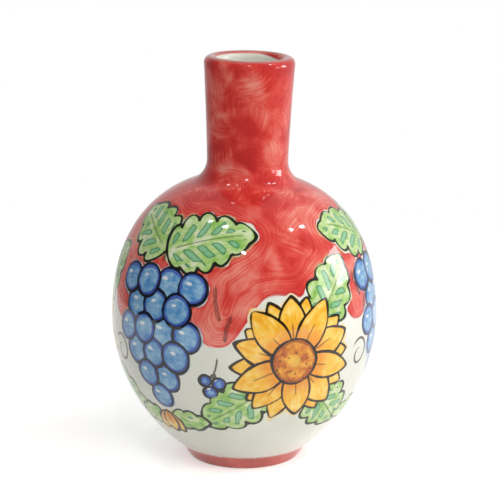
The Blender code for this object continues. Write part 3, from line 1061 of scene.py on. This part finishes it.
for piece, material, slot, nodes in (
    (paintedGlaze, makePaintedGlaze(), "white_glaze", ("neck_glaze", "globe_glaze", "foot_glaze")),
    (linerGlaze, makeLinerGlaze(), "white_glaze", ("liner_glaze",)),
    (biscuitBody, makeBiscuit(), "biscuit_earthenware", ("clay_body",)),
):
    piece.data.materials.clear()
    piece.data.materials.append(material)
    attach(piece, "root")
    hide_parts(*nodes)
print("materials mixed")

# A plain pale table and a soft white studio, with the window and the ceiling spots that shine in the glaze
studio = {
    "worldDiffuse": 0.285,
    "brightWay": (0.50, 0.86, 0.0),  # the room that shines in the glaze is brighter behind and to the right
    "glossDim": 0.12,
    "glossBright": 0.80,
    "window": {"azimuth": 96, "elevation": 14, "distance": 1.0, "size": (0.30, 0.34), "radiance": 9.5},
    "sidePane": {"azimuth": 75, "elevation": 10, "distance": 1.0, "size": (0.20, 0.26), "radiance": 4.0},
    "softbox": {"azimuth": 30, "elevation": 34, "distance": 1.8, "size": (1.5, 1.5), "radiance": 2.5},
    "tableRadius": 0.45,
    "tableLift": 0.50,  # the table's own light, for the camera and in the glaze only
    "spotPlaces": ((-1, 49), (80, 56), (96, 51), (-49, 72), (-89, 67)),
    "spot": {"distance": 1.5, "size": (0.07, 0.07), "radiance": 70.0},
    "lookAt": np.array([0, 0, 0.09]),
}


def hangLamp(name, azimuth, elevation, distance, size, radiance):
    a, e = math.radians(azimuth), math.radians(elevation)
    way = np.array([math.sin(a) * math.cos(e), -math.cos(a) * math.cos(e), math.sin(e)])
    lamp = bpy.data.lights.new(name, "AREA")
    lamp.shape = "RECTANGLE"
    lamp.size, lamp.size_y = size
    lamp.energy = radiance * math.pi * size[0] * size[1]
    holder = bpy.data.objects.new(name, lamp)
    bpy.context.scene.collection.objects.link(holder)
    holder.location = studio["lookAt"] + way * distance
    holder.rotation_euler = (math.pi / 2 - e, 0, a)
    holder.visible_camera = False
    return holder


for name in ("window", "sidePane", "softbox"):
    hung = hangLamp(name, **studio[name])
    hung.visible_glossy = name != "softbox"
for number, (azimuth, elevation) in enumerate(studio["spotPlaces"]):
    hangLamp(f"spot{number}", azimuth, elevation, **studio["spot"])

bpy.ops.object.select_all(action="DESELECT")
bpy.ops.mesh.primitive_circle_add(vertices=96, radius=studio["tableRadius"], fill_type="NGON")
table = bpy.context.active_object
table.name = "table"
# Matt lacquered board: even and pale, with no shine of its own
material, shader = newMaterial("Pale table top")
feed(shader, {"Base Color": "#f4f3f1", "Roughness": 0.6})
rays = add("LightPath")
seen = rays.outputs["Is Camera Ray"]
for name in ("Is Glossy Ray", "Is Transmission Ray"):
    seen = add("Math MAXIMUM", (seen, rays.outputs[name]))
lift = add("Math MULTIPLY", (seen, studio["tableLift"]))
glow = add("Emission", {"Color": "#ffffff", "Strength": lift})
feed(tree.nodes["Material Output"], {"Surface": add("AddShader", (shader, glow))})
table.data.materials.append(material)

world = bpy.context.scene.world or bpy.data.worlds.new("Studio")
bpy.context.scene.world = world
world.use_nodes = True
tree = world.node_tree
rays = add("LightPath").outputs
seen = add("Math MAXIMUM", (rays["Is Camera Ray"], rays["Is Transmission Ray"]))
way = add("TexCoord").outputs["Generated"]
bright = add("VectorMath DOT_PRODUCT", (way, studio["brightWay"]))
shine = add("MapRange SMOOTHSTEP", (bright, -0.4, 1.0, studio["glossDim"], studio["glossBright"]))
level = studio["worldDiffuse"]
for ray, lit in ((rays["Is Glossy Ray"], shine), (seen, 1.0)):
    level = add("Mix", {0: ray, 2: level, 3: lit})
feed(tree.nodes["Background"], {"Color": "#ffffff", "Strength": level})

# The camera stands where the photograph was taken from
view = {
    "side": 0.00244,
    "distance": 0.8380,
    "height": 0.2895,
    "pitch": math.radians(13.50),
    "focalPixels": 2062.7,
    "imagePixels": 500,
}
camera = bpy.data.cameras.new("camera")
camera.sensor_width = 36
camera.lens = view["focalPixels"] / view["imagePixels"] * camera.sensor_width
holder = bpy.data.objects.new("camera", camera)
bpy.context.scene.collection.objects.link(holder)
holder.location = (view["side"], -view["distance"], view["height"])
holder.rotation_euler = (math.pi / 2 - view["pitch"], 0, 0)
bpy.context.scene.camera = holder
bpy.context.scene.view_settings.view_transform = "Standard"
print("studio and camera set")
